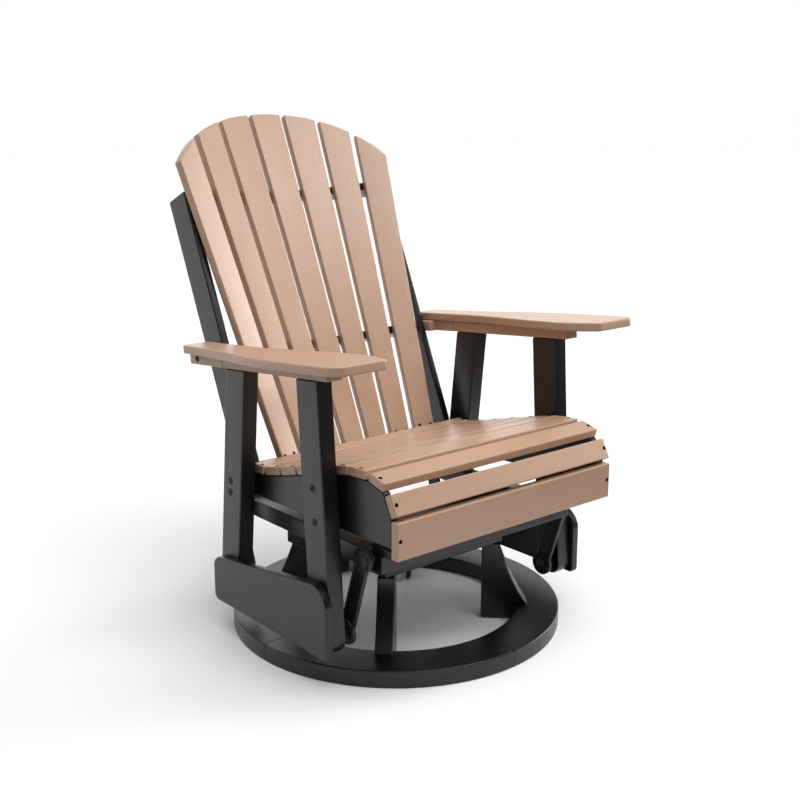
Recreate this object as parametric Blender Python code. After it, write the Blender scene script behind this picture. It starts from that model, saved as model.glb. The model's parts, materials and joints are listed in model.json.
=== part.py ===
"""Adirondack swivel glider: a slatted lounge chair that hangs on four short arms from a frame, which turns on a ring base.

Metres, +Z up, the chair faces -Y, left is -X. The sizes are worked out about the swivel axis, and the whole chair
is then moved so that the origin lies under the middle of its bounding box, on the floor.
"""

import math

import bmesh
import bpy
from mathutils import Matrix, Vector

# Stock and fits
BOARD = 0.019
TIMBER = 0.038
PLANK_WIDTH = 0.0635
ROUND_OVER = 0.003
GAP = 0.0003
OVERRUN = 0.001
ROUND_STEPS = 2
FILLET_STEPS = 5

# Base: ring, legs and hub
RING_OUTER_RADIUS = 0.377
RING_WIDTH = 0.0965
RING_STEPS = 60
LEG_FIRST_ANGLE = 45
LEG_COUNT = 4
LEG_HEIGHT = 0.185
LEG_INSIDE_RING = 0.0825
LEG_TOP_INSIDE_RING = 0.0395
LEG_FOOT_ON_RING = 0.0245
LEG_SHOULDER_DROP = 0.018
LEG_FLOOR_GAP = 0.003
LEG_SWEEP_STEPS = 6
leg_sweep_shares = (0.42, 0.39)
HUB_HALF_WIDTH = 0.176
HUB_CORNER_RADIUS = 0.245

# Swivel: centre tube, two plates and the race between them
TUBE_RADIUS = 0.023
TUBE_WALL = 0.003
TUBE_LENGTH = 0.1
FLANGE_RADIUS = 0.048
PLATE = 0.004
PLATE_HALF_WIDTH = 0.076
PLATE_CORNER_RADIUS = 0.012
RACE_RADIUS = 0.055
RACE_WIDTH = 0.008
RACE_HEIGHT = 0.0012
TURN_STEPS = 24

# Seat: flat slats, two nose slats and an apron, all fixed on two shaped rails
SEAT_HALF_WIDTH = 0.305
SEAT_REAR_Y = 0.1215
SEAT_REAR_HEIGHT = 0.3968
SEAT_FLAT_DEPTH = 0.3935
SEAT_RISE = 0.0757
SLAT_GAP = 0.0053
seat_depth_shares = (0, 0.108, 0.257, 0.405, 0.555, 0.704, 0.854, 1)
seat_rise_shares = (0, 0.018, 0.194, 0.394, 0.593, 0.790, 0.955, 1)
NOSE_BOARD_WIDTH = 0.045
APRON_HEIGHT = 0.0772
NOSE_FALLS = (15.2, 63.2, 90)
nose_reach_shares = (0.753, 0.90, 0.084)
nose_drop_shares = (0.032, 0.874, 0.658)
SEAT_RAIL_FRONT_BOTTOM = 0.335
SEAT_RAIL_REAR_BOTTOM = 0.3225
SEAT_RAIL_TAIL = 0.0915
SEAT_RAIL_TAIL_RISE = 0.0122

# Glide gear: four arms between the frame's cross rails and the posts
GLIDE_CENTRE_Y = -0.016
TOP_PIVOT_REACH = 0.2295
BOTTOM_PIVOT_REACH = 0.174
ARM_DROP = 0.173
PIVOT_ABOVE_RAIL = 0.0268
ARM_THICKNESS = 0.012
ARM_HALF_WIDTH = 0.019
ARM_BOSS_RADIUS = 0.027
ARM_FLANGE = 0.0045
ARM_RIB = 0.0035
ARM_POCKET_DEPTH = 0.004
ARM_POCKETS = 4
ARM_STEPS = 14
HOLE_STEPS = 6
BOSS_HOLES = 12
BOSS_HOLE_RADIUS = 0.0021
BOSS_HOLE_CIRCLE = 0.0205
SLEEVE_RADIUS = 0.0135
TOP_SLEEVE = 0.0117
BOTTOM_SLEEVE = 0.0197

# Swivel frame
MOUNT_BOARD_INSET = 0.021
MOUNT_BOARD_FRONT = 0.145
MOUNT_BOARD_REAR = 0.078
CROSS_RAIL_REACH = 0.2655
CAP_OVERHANG = 0.029

# Posts, spacers and skirts
SPACER = 0.0094
SPACER_WIDTH = 0.045
SPACER_TOP_MARGIN = 0.008
POST_WIDTH = 0.0695
POST_BELOW_PIVOT = 0.03
FRONT_POST_LEAD = 0.0295
FRONT_POST_LEAN = 3.75
REAR_POST_LEAD = 0.0333
REAR_POST_LEAN = -5.94
POST_TOE_RADIUS = 0.027
SKIRT_FRONT_OVERHANG = 0.0071
SKIRT_REAR_INSET = 0.0055
SKIRT_HEIGHT = 0.1277
SKIRT_FALL = 8.08
SKIRT_FRONT_TOP_RADIUS = 0.045
SKIRT_REAR_TOP_RADIUS = 0.025
SKIRT_REAR_TOE_RADIUS = 0.015
SKIRT_FRONT_TOE_RADIUS = 0.010

# Armrests, cleats and rear blocks
ARMREST_HEIGHT = 0.6685
ARMREST_FALL = 5.2
ARMREST_FRONT = 0.3311
ARMREST_LENGTH = 0.6221
ARMREST_REACH = 0.421
ARMREST_OUTER_CORNER = 0.028
ARMREST_INNER_CORNER = 0.012
ARMREST_REAR_CORNER = 0.008
ARMREST_CURVE_STEPS = 2
armrest_outer_shares = ((0, 0.884), (0.145, 0.901), (0.339, 0.933), (0.45, 0.966), (0.5645, 0.99), (0.661, 0.999),
                        (0.806, 1), (0.919, 0.998), (1, 0.988))
armrest_inner_shares = ((1, 0.700), (0.952, 0.674), (0.871, 0.649), (0.79, 0.653), (0.71, 0.665), (0.629, 0.681),
                        (0.548, 0.699), (0.468, 0.717), (0.387, 0.731), (0.3, 0.7316), (0, 0.7316))
armrest_clear_share = 1.2
CLEAT_DEPTH = 0.0255
CLEAT_FRONT = 0.2165
CLEAT_REAR = 0.159
BLOCK_DEPTH = 0.0255
BLOCK_HEEL = 0.073
BLOCK_OVERHANG = 0.004

# Back: slats fanned over a hollow, three cross rails and two stiles
BACK_ANGLE = 24.57
BACK_RADIUS = 0.858
BACK_CLEARANCE = 0.0003
BACK_BELOW_SEAT = 0.0063
BACK_INSET = 0.0036
BACK_LENGTH = 0.8198
BACK_LOW_MARK = 0.2304
BACK_HIGH_MARK = 0.7252
BACK_SLAT_DROP = 0.028
BACK_STATIONS = 3
ARCH_DROP = 0.1334
ARCH_STEPS = 4
arch_round_share = 0.775
back_low_edge_shares = ((-0.1065, 0.1065), (0.1476, 0.3507), (0.3938, 0.5879), (0.6367, 0.8308))
back_high_edge_shares = ((-0.132, 0.132), (0.170, 0.435), (0.474, 0.717), (0.765, 1))
BACK_RAIL_PLACES = {"low": -0.015, "middle": 0.245, "high": 0.6199}
BACK_RAIL_DEPTH = 0.036
BACK_RAIL_TAPER = 0.03
STILE_CLEARANCE = 0.011
STILE_WIDTH = 0.073
STILE_TOP = 0.624
STILE_LEAN = 0.99
STILE_FOOT_HEIGHT = 0.33

# Places that follow from the sizes
ring_inner_radius = RING_OUTER_RADIUS - RING_WIDTH
leg_inner_radius = ring_inner_radius - LEG_INSIDE_RING
leg_top_radius = ring_inner_radius - LEG_TOP_INSIDE_RING
leg_foot_radius = ring_inner_radius + LEG_FOOT_ON_RING
seat_rail_inner = SEAT_HALF_WIDTH - BOARD
back_half_width = SEAT_HALF_WIDTH - BACK_INSET
stile_inner = seat_rail_inner - STILE_CLEARANCE
post_inner = SEAT_HALF_WIDTH + GAP + SPACER + GAP
post_outer = post_inner + TIMBER
arm_outer = post_inner - GAP - BOTTOM_SLEEVE
arm_inner = arm_outer - ARM_THICKNESS
frame_half_width = arm_inner - TOP_SLEEVE - GAP
hub_bottom = LEG_HEIGHT + GAP
lower_plate_bottom = hub_bottom + BOARD + GAP
upper_plate_bottom = lower_plate_bottom + PLATE + RACE_HEIGHT
mount_board_bottom = upper_plate_bottom + PLATE + GAP
rail_bottom = mount_board_bottom + TIMBER + GAP
cap_bottom = rail_bottom + TIMBER + GAP
top_pivot_height = rail_bottom + PIVOT_ABOVE_RAIL
bottom_pivot_height = top_pivot_height - ARM_DROP
post_bottom = bottom_pivot_height - POST_BELOW_PIVOT

SIDES = {"left": -1, "right": 1}
ENDS = {"front": -1, "rear": 1}


def material(name, colour, roughness, metallic=0.0):
    """A Principled material of one colour."""
    made = bpy.data.materials.new(name)
    made.use_nodes = True
    shader = made.node_tree.nodes["Principled BSDF"]
    shader.inputs["Base Color"].default_value = (*colour, 1.0)
    shader.inputs["Roughness"].default_value = roughness
    shader.inputs["Metallic"].default_value = metallic
    return made


def empty(name, place, parent=None):
    """A joint's empty, whose place is given in the world."""
    joint = bpy.data.objects.new(name, None)
    bpy.context.scene.collection.objects.link(joint)
    joint.parent = parent
    joint["place"] = place
    joint.location = Vector(place) - Vector(parent["place"] if parent else (0, 0, 0))
    return joint


def add_object(name, mesh, place, parent, look):
    """Links a mesh as an object of its own, placed under its joint's empty."""
    mesh.materials.clear()
    mesh.materials.append(look)
    piece = bpy.data.objects.new(name, mesh)
    bpy.context.scene.collection.objects.link(piece)
    piece.parent = parent
    piece.location = Vector(place) - Vector(parent["place"])
    return piece


def add_piece(name, shape, parent, look):
    """Turns a bmesh in world coordinates into an object whose origin is the middle of its box."""
    corners = [vertex.co for vertex in shape.verts]
    low = Vector([min(point[axis] for point in corners) for axis in range(3)])
    high = Vector([max(point[axis] for point in corners) for axis in range(3)])
    middle = (low + high) / 2
    bmesh.ops.translate(shape, verts=shape.verts, vec=-middle)
    mesh = bpy.data.meshes.new(name)
    shape.to_mesh(mesh)
    shape.free()
    mesh.shade_smooth()
    mesh.set_sharp_from_angle(angle=math.radians(35))
    return add_object(name, mesh, middle, parent, look)


def prism(points, shift):
    """A closed solid swept from a flat outline of 3-D points along one shift."""
    shape = bmesh.new()
    face = shape.faces.new([shape.verts.new(point) for point in points])
    swept = bmesh.ops.extrude_face_region(shape, geom=[face])["geom"]
    moved = [item for item in swept if isinstance(item, bmesh.types.BMVert)]
    bmesh.ops.translate(shape, verts=moved, vec=shift)
    bmesh.ops.recalc_face_normals(shape, faces=shape.faces)
    return shape


def prism_x(outline, low, high):
    """An outline of (y, z) points swept from low to high along X."""
    return prism([(low, y, z) for y, z in outline], (high - low, 0, 0))


def prism_z(outline, low, high):
    """An outline of (x, y) points swept from low to high along Z."""
    return prism([(x, y, low) for x, y in outline], (0, 0, high - low))


def round_edges(shape, radius=ROUND_OVER):
    """Rounds over every edge of a board that is sharper than a curve's facets."""
    sharp = [edge for edge in shape.edges if edge.calc_face_angle(0) > math.radians(30)]
    bmesh.ops.bevel(shape, geom=sharp, offset=radius, offset_type="OFFSET", segments=ROUND_STEPS, profile=0.5,
                    affect="EDGES", clamp_overlap=True, material=-1)
    return shape


def turned(profile, steps):
    """A solid turned about Z from a closed outline of (radius, z) points."""
    shape = bmesh.new()
    points = [shape.verts.new((radius, 0, z)) for radius, z in profile]
    rim = [shape.edges.new((points[k], points[(k + 1) % len(points)])) for k in range(len(points))]
    bmesh.ops.spin(shape, geom=points + rim, cent=(0, 0, 0), axis=(0, 0, 1), angle=math.tau, steps=steps,
                   use_merge=True)
    bmesh.ops.recalc_face_normals(shape, faces=shape.faces)
    return shape


def round_bar(start, length, radius, steps):
    """A round bar along +X."""
    ring = [(start[0], start[1] + radius * math.cos(math.tau * k / steps),
             start[2] + radius * math.sin(math.tau * k / steps)) for k in range(steps)]
    return prism(ring, (length, 0, 0))


def merged(shapes):
    """One bmesh that holds several solids that don't meet."""
    whole = bmesh.new()
    for shape in shapes:
        part = bpy.data.meshes.new("part")
        shape.to_mesh(part)
        shape.free()
        whole.from_mesh(part)
        bpy.data.meshes.remove(part)
    return whole


def boolean(body, tool, operation):
    """The body after one exact Boolean with the tool, as a bmesh."""
    objects = []
    for shape in (body, tool):
        mesh = bpy.data.meshes.new("stock")
        shape.to_mesh(mesh)
        shape.free()
        objects.append(bpy.data.objects.new("stock", mesh))
        bpy.context.scene.collection.objects.link(objects[-1])
    cut = objects[0].modifiers.new("cut", "BOOLEAN")
    cut.operation = operation
    cut.solver = "EXACT"
    cut.object = objects[1]
    result = bmesh.new()
    result.from_object(objects[0], bpy.context.evaluated_depsgraph_get())
    for item in objects:
        mesh = item.data
        bpy.data.objects.remove(item)
        bpy.data.meshes.remove(mesh)
    return result


def fillet(corners, radii):
    """A closed outline with each corner of a polygon rounded to its own radius, or left sharp at 0."""
    outline = []
    for k, radius in enumerate(radii):
        corner = Vector(corners[k])
        to_last = (Vector(corners[k - 1]) - corner).normalized()
        to_next = (Vector(corners[(k + 1) % len(corners)]) - corner).normalized()
        if radius == 0:
            outline.append(tuple(corner))
            continue
        half = to_last.angle(to_next) / 2
        centre = corner + (to_last + to_next).normalized() * radius / math.sin(half)
        first = corner + to_last * radius / math.tan(half) - centre
        last = corner + to_next * radius / math.tan(half) - centre
        for step in range(FILLET_STEPS + 1):
            share = step / FILLET_STEPS
            spoke = (first * (1 - share) + last * share).normalized()
            outline.append(tuple(centre + spoke * radius))
    return outline


def smooth_path(points, steps):
    """An open path through the points, as a Catmull-Rom curve."""
    path = []
    ends = [points[0], *points, points[-1]]
    for k in range(1, len(ends) - 2):
        before, first, last, after = (Vector(point) for point in ends[k - 1:k + 3])
        for step in range(steps):
            t = step / steps
            path.append(tuple(0.5 * (2 * first + (last - before) * t
                                     + (2 * before - 5 * first + 4 * last - after) * t ** 2
                                     + (3 * first - before - 3 * last + after) * t ** 3)))
    path.append(tuple(points[-1]))
    return path


def crossing(first, last):
    """Where two lines cross, each given by two 2-D points."""
    point, along = Vector(first[0]), Vector(first[1]) - Vector(first[0])
    other, across = Vector(last[0]), Vector(last[1]) - Vector(last[0])
    turn = along.x * across.y - along.y * across.x
    if abs(turn) < 1e-9 * along.length * across.length:
        return tuple((Vector(first[1]) + other) / 2)
    away = other - point
    return tuple(point + along * (away.x * across.y - away.y * across.x) / turn)


# Base

def ring(parent, look):
    """The floor ring, cut from thick board and rounded over on all four rims."""
    corners = [(ring_inner_radius, 0), (RING_OUTER_RADIUS, 0), (RING_OUTER_RADIUS, TIMBER), (ring_inner_radius, TIMBER)]
    profile = []
    for k, (radius, z) in enumerate(corners):
        inward = Vector((-1 if radius == RING_OUTER_RADIUS else 1, 1 if z == 0 else -1)) * ROUND_OVER
        centre = Vector((radius, z)) + inward
        start = math.radians(180 + 90 * k)
        for step in range(ROUND_STEPS + 1):
            angle = start + math.radians(90) * step / ROUND_STEPS
            profile.append((centre.x + ROUND_OVER * math.cos(angle), centre.y + ROUND_OVER * math.sin(angle)))
    add_piece("ring", turned(profile, RING_STEPS), parent, look)


def leg_outline():
    """(radius, z) outline of a leg: it stands in the ring's hole, steps over the ring and sweeps in to the hub."""
    tab_radius = math.sqrt(ring_inner_radius ** 2 - (TIMBER / 2) ** 2) - GAP
    seat = TIMBER + GAP
    foot = Vector((leg_foot_radius, seat))
    shoulder = Vector((leg_top_radius, LEG_HEIGHT - LEG_SHOULDER_DROP))
    rise = shoulder - foot
    bend = Vector((shoulder.x - rise.x * leg_sweep_shares[0], foot.y + rise.y * leg_sweep_shares[1]))
    sweep = []
    for step in range(LEG_SWEEP_STEPS + 1):
        t = step / LEG_SWEEP_STEPS
        sweep.append(tuple(foot * (1 - t) ** 2 + bend * 2 * t * (1 - t) + shoulder * t ** 2))
    return [(leg_inner_radius, LEG_FLOOR_GAP), (tab_radius, LEG_FLOOR_GAP), (tab_radius, seat), *sweep,
            (leg_top_radius, LEG_HEIGHT), (leg_inner_radius, LEG_HEIGHT)]


def legs(parent, look):
    """Four legs of thick board, set on the ring's diagonals."""
    names = ("leg_rear_right", "leg_rear_left", "leg_front_left", "leg_front_right")
    for k, name in enumerate(names):
        points = [(radius, -TIMBER / 2, z) for radius, z in leg_outline()]
        shape = round_edges(prism(points, (0, TIMBER, 0)))
        turn = Matrix.Rotation(math.radians(LEG_FIRST_ANGLE + 360 * k / LEG_COUNT), 4, "Z")
        bmesh.ops.transform(shape, matrix=turn, verts=shape.verts)
        add_piece(name, shape, parent, look)


def hub(parent, look):
    """The square hub board with clipped corners that lies on the four legs."""
    clip = HUB_CORNER_RADIUS * math.sqrt(2) - HUB_HALF_WIDTH
    corners = []
    for turn_x, turn_y in ((1, 1), (-1, 1), (-1, -1), (1, -1)):
        ends = [(turn_x * HUB_HALF_WIDTH, turn_y * clip), (turn_x * clip, turn_y * HUB_HALF_WIDTH)]
        corners += ends if turn_x == turn_y else ends[::-1]
    add_piece("hub_board", round_edges(prism_z(corners, hub_bottom, hub_bottom + BOARD)), parent, look)


def swivel(base, frame, look):
    """Centre tube under the hub, and two square plates with a race turned on the lower one."""
    flange_top = hub_bottom - GAP
    flange_bottom = flange_top - PLATE
    bore = TUBE_RADIUS - TUBE_WALL
    tube_bottom = flange_top - TUBE_LENGTH
    tube = turned([(bore, tube_bottom), (TUBE_RADIUS, tube_bottom), (TUBE_RADIUS, flange_bottom),
                   (FLANGE_RADIUS, flange_bottom), (FLANGE_RADIUS, flange_top), (bore, flange_top)], TURN_STEPS)
    add_piece("swivel_tube", tube, base, look)
    half = PLATE_HALF_WIDTH
    square = fillet([(half, half), (-half, half), (-half, -half), (half, -half)], [PLATE_CORNER_RADIUS] * 4)
    plate = prism_z(square, lower_plate_bottom, lower_plate_bottom + PLATE)
    race_low = lower_plate_bottom + PLATE - OVERRUN
    race_high = upper_plate_bottom - GAP
    race = turned([(RACE_RADIUS - RACE_WIDTH, race_low), (RACE_RADIUS, race_low), (RACE_RADIUS, race_high),
                   (RACE_RADIUS - RACE_WIDTH, race_high)], TURN_STEPS)
    add_piece("swivel_plate_lower", boolean(plate, race, "UNION"), base, look)
    plate = prism_z(square, upper_plate_bottom, upper_plate_bottom + PLATE)
    add_piece("swivel_plate_upper", plate, frame, look)


# Swivel frame

def swivel_frame(parent, look):
    """Mount board, two side rails on it, two cross rails laid flat at their ends, and a cap on each cross rail."""
    half = frame_half_width - MOUNT_BOARD_INSET
    board = prism_z([(half, MOUNT_BOARD_REAR), (-half, MOUNT_BOARD_REAR), (-half, -MOUNT_BOARD_FRONT),
                     (half, -MOUNT_BOARD_FRONT)], mount_board_bottom, mount_board_bottom + TIMBER)
    add_piece("mount_board", round_edges(board), parent, look)
    half = frame_half_width
    rail_inner_reach = CROSS_RAIL_REACH - PLANK_WIDTH
    cap_reach = CROSS_RAIL_REACH + CAP_OVERHANG
    for end, way in ENDS.items():
        outer = GLIDE_CENTRE_Y + way * CROSS_RAIL_REACH
        inner = GLIDE_CENTRE_Y + way * rail_inner_reach
        rail = prism_z([(half, outer), (-half, outer), (-half, inner), (half, inner)], rail_bottom,
                       rail_bottom + TIMBER)
        add_piece(f"cross_rail_{end}", round_edges(rail), parent, look)
        outer = GLIDE_CENTRE_Y + way * cap_reach
        inner = GLIDE_CENTRE_Y + way * (cap_reach - PLANK_WIDTH)
        cap = prism_z([(half, outer), (-half, outer), (-half, inner), (half, inner)], cap_bottom, cap_bottom + BOARD)
        add_piece(f"cross_cap_{end}", round_edges(cap), parent, look)
    length = rail_inner_reach - GAP
    for side, sign in SIDES.items():
        outer = sign * half
        inner = sign * (half - TIMBER)
        low, high = GLIDE_CENTRE_Y - length, GLIDE_CENTRE_Y + length
        rail = prism_z([(outer, low), (outer, high), (inner, high), (inner, low)], rail_bottom, rail_bottom + TIMBER)
        add_piece(f"side_rail_{side}", round_edges(rail), parent, look)


# Glider arms

def arm_outline(length):
    """(y, z) outline of an arm that hangs from the origin: two round bosses joined by a narrower bar."""
    neck = math.degrees(math.acos(ARM_HALF_WIDTH / ARM_BOSS_RADIUS))
    outline = []
    for centre, start in ((0, -neck), (-length, 180 - neck)):
        for step in range(ARM_STEPS + 1):
            angle = math.radians(start + (180 + 2 * neck) * step / ARM_STEPS)
            outline.append((ARM_BOSS_RADIUS * math.cos(angle), centre + ARM_BOSS_RADIUS * math.sin(angle)))
    return outline


def arm_mesh(length):
    """The moulded arm: pockets between ribs on both faces, a ring of holes in each boss, and its two sleeves.

    Its inner face is at x = 0, and the sleeve at the top pivot reaches inwards, the one at the bottom outwards.
    """
    body = prism_x(arm_outline(length), 0, ARM_THICKNESS)
    outer_floor = ARM_THICKNESS - ARM_POCKET_DEPTH
    inner_floor = ARM_POCKET_DEPTH
    half = ARM_HALF_WIDTH - ARM_FLANGE
    first = ARM_BOSS_RADIUS + ARM_RIB
    pitch = (length - 2 * first + ARM_RIB) / ARM_POCKETS
    cuts = []
    for k in range(ARM_POCKETS):
        top = -first - pitch * k
        low = top - pitch + ARM_RIB
        panel = [(half, top), (-half, top), (-half, low), (half, low)]
        cuts.append(prism_x(panel, outer_floor, ARM_THICKNESS + OVERRUN))
        cuts.append(prism_x(panel, -OVERRUN, inner_floor))
    for centre in (0, -length):
        for k in range(BOSS_HOLES):
            angle = math.tau * (k + 0.5) / BOSS_HOLES
            start = (outer_floor, BOSS_HOLE_CIRCLE * math.cos(angle), centre + BOSS_HOLE_CIRCLE * math.sin(angle))
            cuts.append(round_bar(start, ARM_POCKET_DEPTH + OVERRUN, BOSS_HOLE_RADIUS, HOLE_STEPS))
    body = boolean(body, merged(cuts), "DIFFERENCE")
    sleeves = [round_bar((-TOP_SLEEVE, 0, 0), TOP_SLEEVE + OVERRUN, SLEEVE_RADIUS, ARM_STEPS),
               round_bar((ARM_THICKNESS - OVERRUN, 0, -length), BOTTOM_SLEEVE + OVERRUN, SLEEVE_RADIUS, ARM_STEPS)]
    body = boolean(body, merged(sleeves), "UNION")
    mesh = bpy.data.meshes.new("glider_arm")
    body.to_mesh(mesh)
    body.free()
    mesh.shade_smooth()
    mesh.set_sharp_from_angle(angle=math.radians(35))
    return mesh


def glider_arms(pivots, look):
    """Four like arms, turned half round on the left and tilted so that they lean in towards the floor."""
    swing = TOP_PIVOT_REACH - BOTTOM_PIVOT_REACH
    length = math.hypot(swing, ARM_DROP)
    tilt = math.atan2(swing, ARM_DROP)
    mesh = arm_mesh(length)
    for (end, side), pivot in pivots.items():
        place = Vector(pivot["place"]) + Vector((SIDES[side] * arm_inner, 0, 0))
        arm = add_object(f"glider_arm_{end}_{side}", mesh, place, pivot, look)
        arm.rotation_euler = (-ENDS[end] * SIDES[side] * tilt, 0, math.pi if side == "left" else 0)


# Seat

def seat_boards():
    """The outer line of each seat board from the rear slat to the apron, as pairs of (y, z) points."""
    nodes = [Vector((SEAT_REAR_Y - SEAT_FLAT_DEPTH * along, SEAT_REAR_HEIGHT + SEAT_RISE * up))
             for along, up in zip(seat_depth_shares, seat_rise_shares)]
    boards = [(nodes[k], nodes[k + 1]) for k in range(len(nodes) - 1)]
    widths = (NOSE_BOARD_WIDTH, NOSE_BOARD_WIDTH, APRON_HEIGHT)
    for fall, width, reach, drop in zip(NOSE_FALLS, widths, nose_reach_shares, nose_drop_shares):
        start = boards[-1][1] - Vector((BOARD * reach, BOARD * drop))
        angle = math.radians(fall)
        boards.append((start, start - width * Vector((math.cos(angle), math.sin(angle)))))
    return boards


def under(board, depth):
    """A board's outer line moved inwards by a depth."""
    along = (board[1] - board[0]).normalized()
    inward = Vector((-along.y, along.x)) * depth
    return board[0] + inward, board[1] + inward


def seat_slats(parent, look):
    """Seven flat slats, two nose slats and the apron, which lie on the shaped rails with a narrow gap between."""
    boards = seat_boards()
    flat = len(seat_depth_shares) - 1
    names = [f"seat_slat_{k + 1}" for k in range(flat)] + ["nose_slat_upper", "nose_slat_lower", "front_apron"]
    back = Vector((math.sin(math.radians(BACK_ANGLE)), math.cos(math.radians(BACK_ANGLE))))
    for k, (name, board) in enumerate(zip(names, boards)):
        along = (board[1] - board[0]).normalized()
        first = board[0] + along * (SLAT_GAP / 2 if 0 < k < flat else 0)
        last = board[1] - along * (SLAT_GAP / 2 if k < flat - 1 else 0)
        low_first, low_last = under((first, last), BOARD)
        if k == 0:
            low_first = Vector(crossing((low_first, low_last), (first, first + back)))
        outline = [tuple(first), tuple(low_first), tuple(low_last), tuple(last)]
        add_piece(name, round_edges(prism_x(outline, -SEAT_HALF_WIDTH, SEAT_HALF_WIDTH)), parent, look)


def rail_top():
    """(y, z) points of a seat rail's upper edge, from the tail's end to the front face behind the apron."""
    lines = [under(board, BOARD + GAP) for board in seat_boards()]
    rear = lines[0][0]
    points = [(rear.x + SEAT_RAIL_TAIL, rear.y + SEAT_RAIL_TAIL_RISE), tuple(rear)]
    points += [crossing(lines[k], lines[k + 1]) for k in range(len(lines) - 1)]
    return points


def seat_rails(parent, look):
    """Two rails whose upper edge is shaped to the slats, from behind the apron to past the rear posts."""
    top = rail_top()
    outline = [*top, (top[-1][0], SEAT_RAIL_FRONT_BOTTOM), (top[0][0], SEAT_RAIL_REAR_BOTTOM)]
    for side, sign in SIDES.items():
        rail = prism_x(outline, sign * seat_rail_inner, sign * SEAT_HALF_WIDTH)
        add_piece(f"seat_rail_{side}", round_edges(rail), parent, look)


# Posts, spacers and skirts

def post_edge(end, height):
    """Y of a post's front edge at a height."""
    lead = {"front": FRONT_POST_LEAD, "rear": REAR_POST_LEAD}[end]
    lean = {"front": FRONT_POST_LEAN, "rear": REAR_POST_LEAN}[end]
    pivot = GLIDE_CENTRE_Y + ENDS[end] * BOTTOM_PIVOT_REACH
    return pivot - lead + math.tan(math.radians(lean)) * (height - bottom_pivot_height)


def under_armrest(depth):
    """A (y, z) line parallel to the armrest's top, a depth below it."""
    fall = math.radians(ARMREST_FALL)
    start = Vector((-depth * math.sin(fall), ARMREST_HEIGHT - depth * math.cos(fall)))
    return start, start + Vector((math.cos(fall), -math.sin(fall)))


def posts(parent, look):
    """Four leaning posts from the glide pivots up to the cleats, the front ones rounded at the toe."""
    top_line = under_armrest(BOARD + GAP + CLEAT_DEPTH + GAP)
    for end in ENDS:
        front_line = [(post_edge(end, z), z) for z in (post_bottom, ARMREST_HEIGHT)]
        rear_line = [(y + POST_WIDTH, z) for y, z in front_line]
        corners = [front_line[0], rear_line[0], crossing(rear_line, top_line), crossing(front_line, top_line)]
        toe = POST_TOE_RADIUS if end == "front" else 0
        outline = fillet(corners, [toe, 0, 0, 0])
        for side, sign in SIDES.items():
            post = prism_x(outline, sign * post_inner, sign * post_outer)
            add_piece(f"post_{end}_{side}", round_edges(post), parent, look)


def post_spacers(parent, look):
    """Thin packers between the seat rails and the posts, as high as the rail."""
    boards = seat_boards()
    top_path = rail_top()
    bottom_line = ((top_path[-1][0], SEAT_RAIL_FRONT_BOTTOM), (top_path[0][0], SEAT_RAIL_REAR_BOTTOM))
    for end in ENDS:
        edge = [(post_edge(end, z) + (POST_WIDTH - SPACER_WIDTH) / 2, z) for z in (0, SEAT_REAR_HEIGHT)]
        front = crossing(edge, bottom_line)
        middle = front[0] + SPACER_WIDTH / 2
        board = min(boards, key=lambda item: abs((item[0].x + item[1].x) / 2 - middle))
        top_line = under(board, BOARD + GAP + SPACER_TOP_MARGIN)
        rear_edge = [(y + SPACER_WIDTH, z) for y, z in edge]
        outline = [front, crossing(rear_edge, bottom_line), crossing(rear_edge, top_line), crossing(edge, top_line)]
        for side, sign in SIDES.items():
            inner = sign * (SEAT_HALF_WIDTH + GAP)
            spacer = prism_x(outline, inner, inner + sign * SPACER)
            add_piece(f"post_spacer_{end}_{side}", round_edges(spacer, ROUND_OVER / 2), parent, look)


def skirts(parent, look):
    """The board low on each side, outside the posts, which joins them and hides the arms."""
    front = post_edge("front", post_bottom) - SKIRT_FRONT_OVERHANG
    rear = post_edge("rear", post_bottom) + POST_WIDTH - SKIRT_REAR_INSET
    top = [post_bottom + SKIRT_HEIGHT - math.tan(math.radians(SKIRT_FALL)) * y for y in (front, rear)]
    corners = [(front, post_bottom), (rear, post_bottom), (rear, top[1]), (front, top[0])]
    radii = [SKIRT_FRONT_TOE_RADIUS, SKIRT_REAR_TOE_RADIUS, SKIRT_REAR_TOP_RADIUS, SKIRT_FRONT_TOP_RADIUS]
    for side, sign in SIDES.items():
        inner = sign * (post_outer + GAP)
        skirt = prism_x(fillet(corners, radii), inner, inner + sign * BOARD)
        add_piece(f"skirt_{side}", round_edges(skirt), parent, look)


# Armrests

def armrest_outline(sign):
    """(x, along) outline of an armrest, swelling outwards at the front and narrowing in the middle."""
    def place(shares):
        along = ARMREST_LENGTH * (1 - shares[0]) - ARMREST_FRONT
        return ARMREST_REACH * shares[1], along

    outer = smooth_path([place(shares) for shares in armrest_outer_shares], ARMREST_CURVE_STEPS)
    inner = smooth_path([place(shares) for shares in armrest_inner_shares], ARMREST_CURVE_STEPS)
    corners = [*outer, *inner]
    radii = [0] * len(corners)
    radii[0] = ARMREST_REAR_CORNER
    radii[-1] = ARMREST_REAR_CORNER
    radii[len(outer) - 1] = ARMREST_OUTER_CORNER
    radii[len(outer)] = ARMREST_INNER_CORNER
    return [(sign * x, along) for x, along in clipped(corners, radii)]


def clipped(corners, radii):
    """Rounds the named corners, after the curve points that lie within each corner's reach are dropped."""
    kept, kept_radii = [], []
    for k, (corner, radius) in enumerate(zip(corners, radii)):
        near = any(0 < (Vector(corner) - Vector(corners[j])).length < other * armrest_clear_share
                   for j, other in enumerate(radii) if j != k)
        if radius > 0 or not near:
            kept.append(corner)
            kept_radii.append(radius)
    return fillet(kept, kept_radii)


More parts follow.
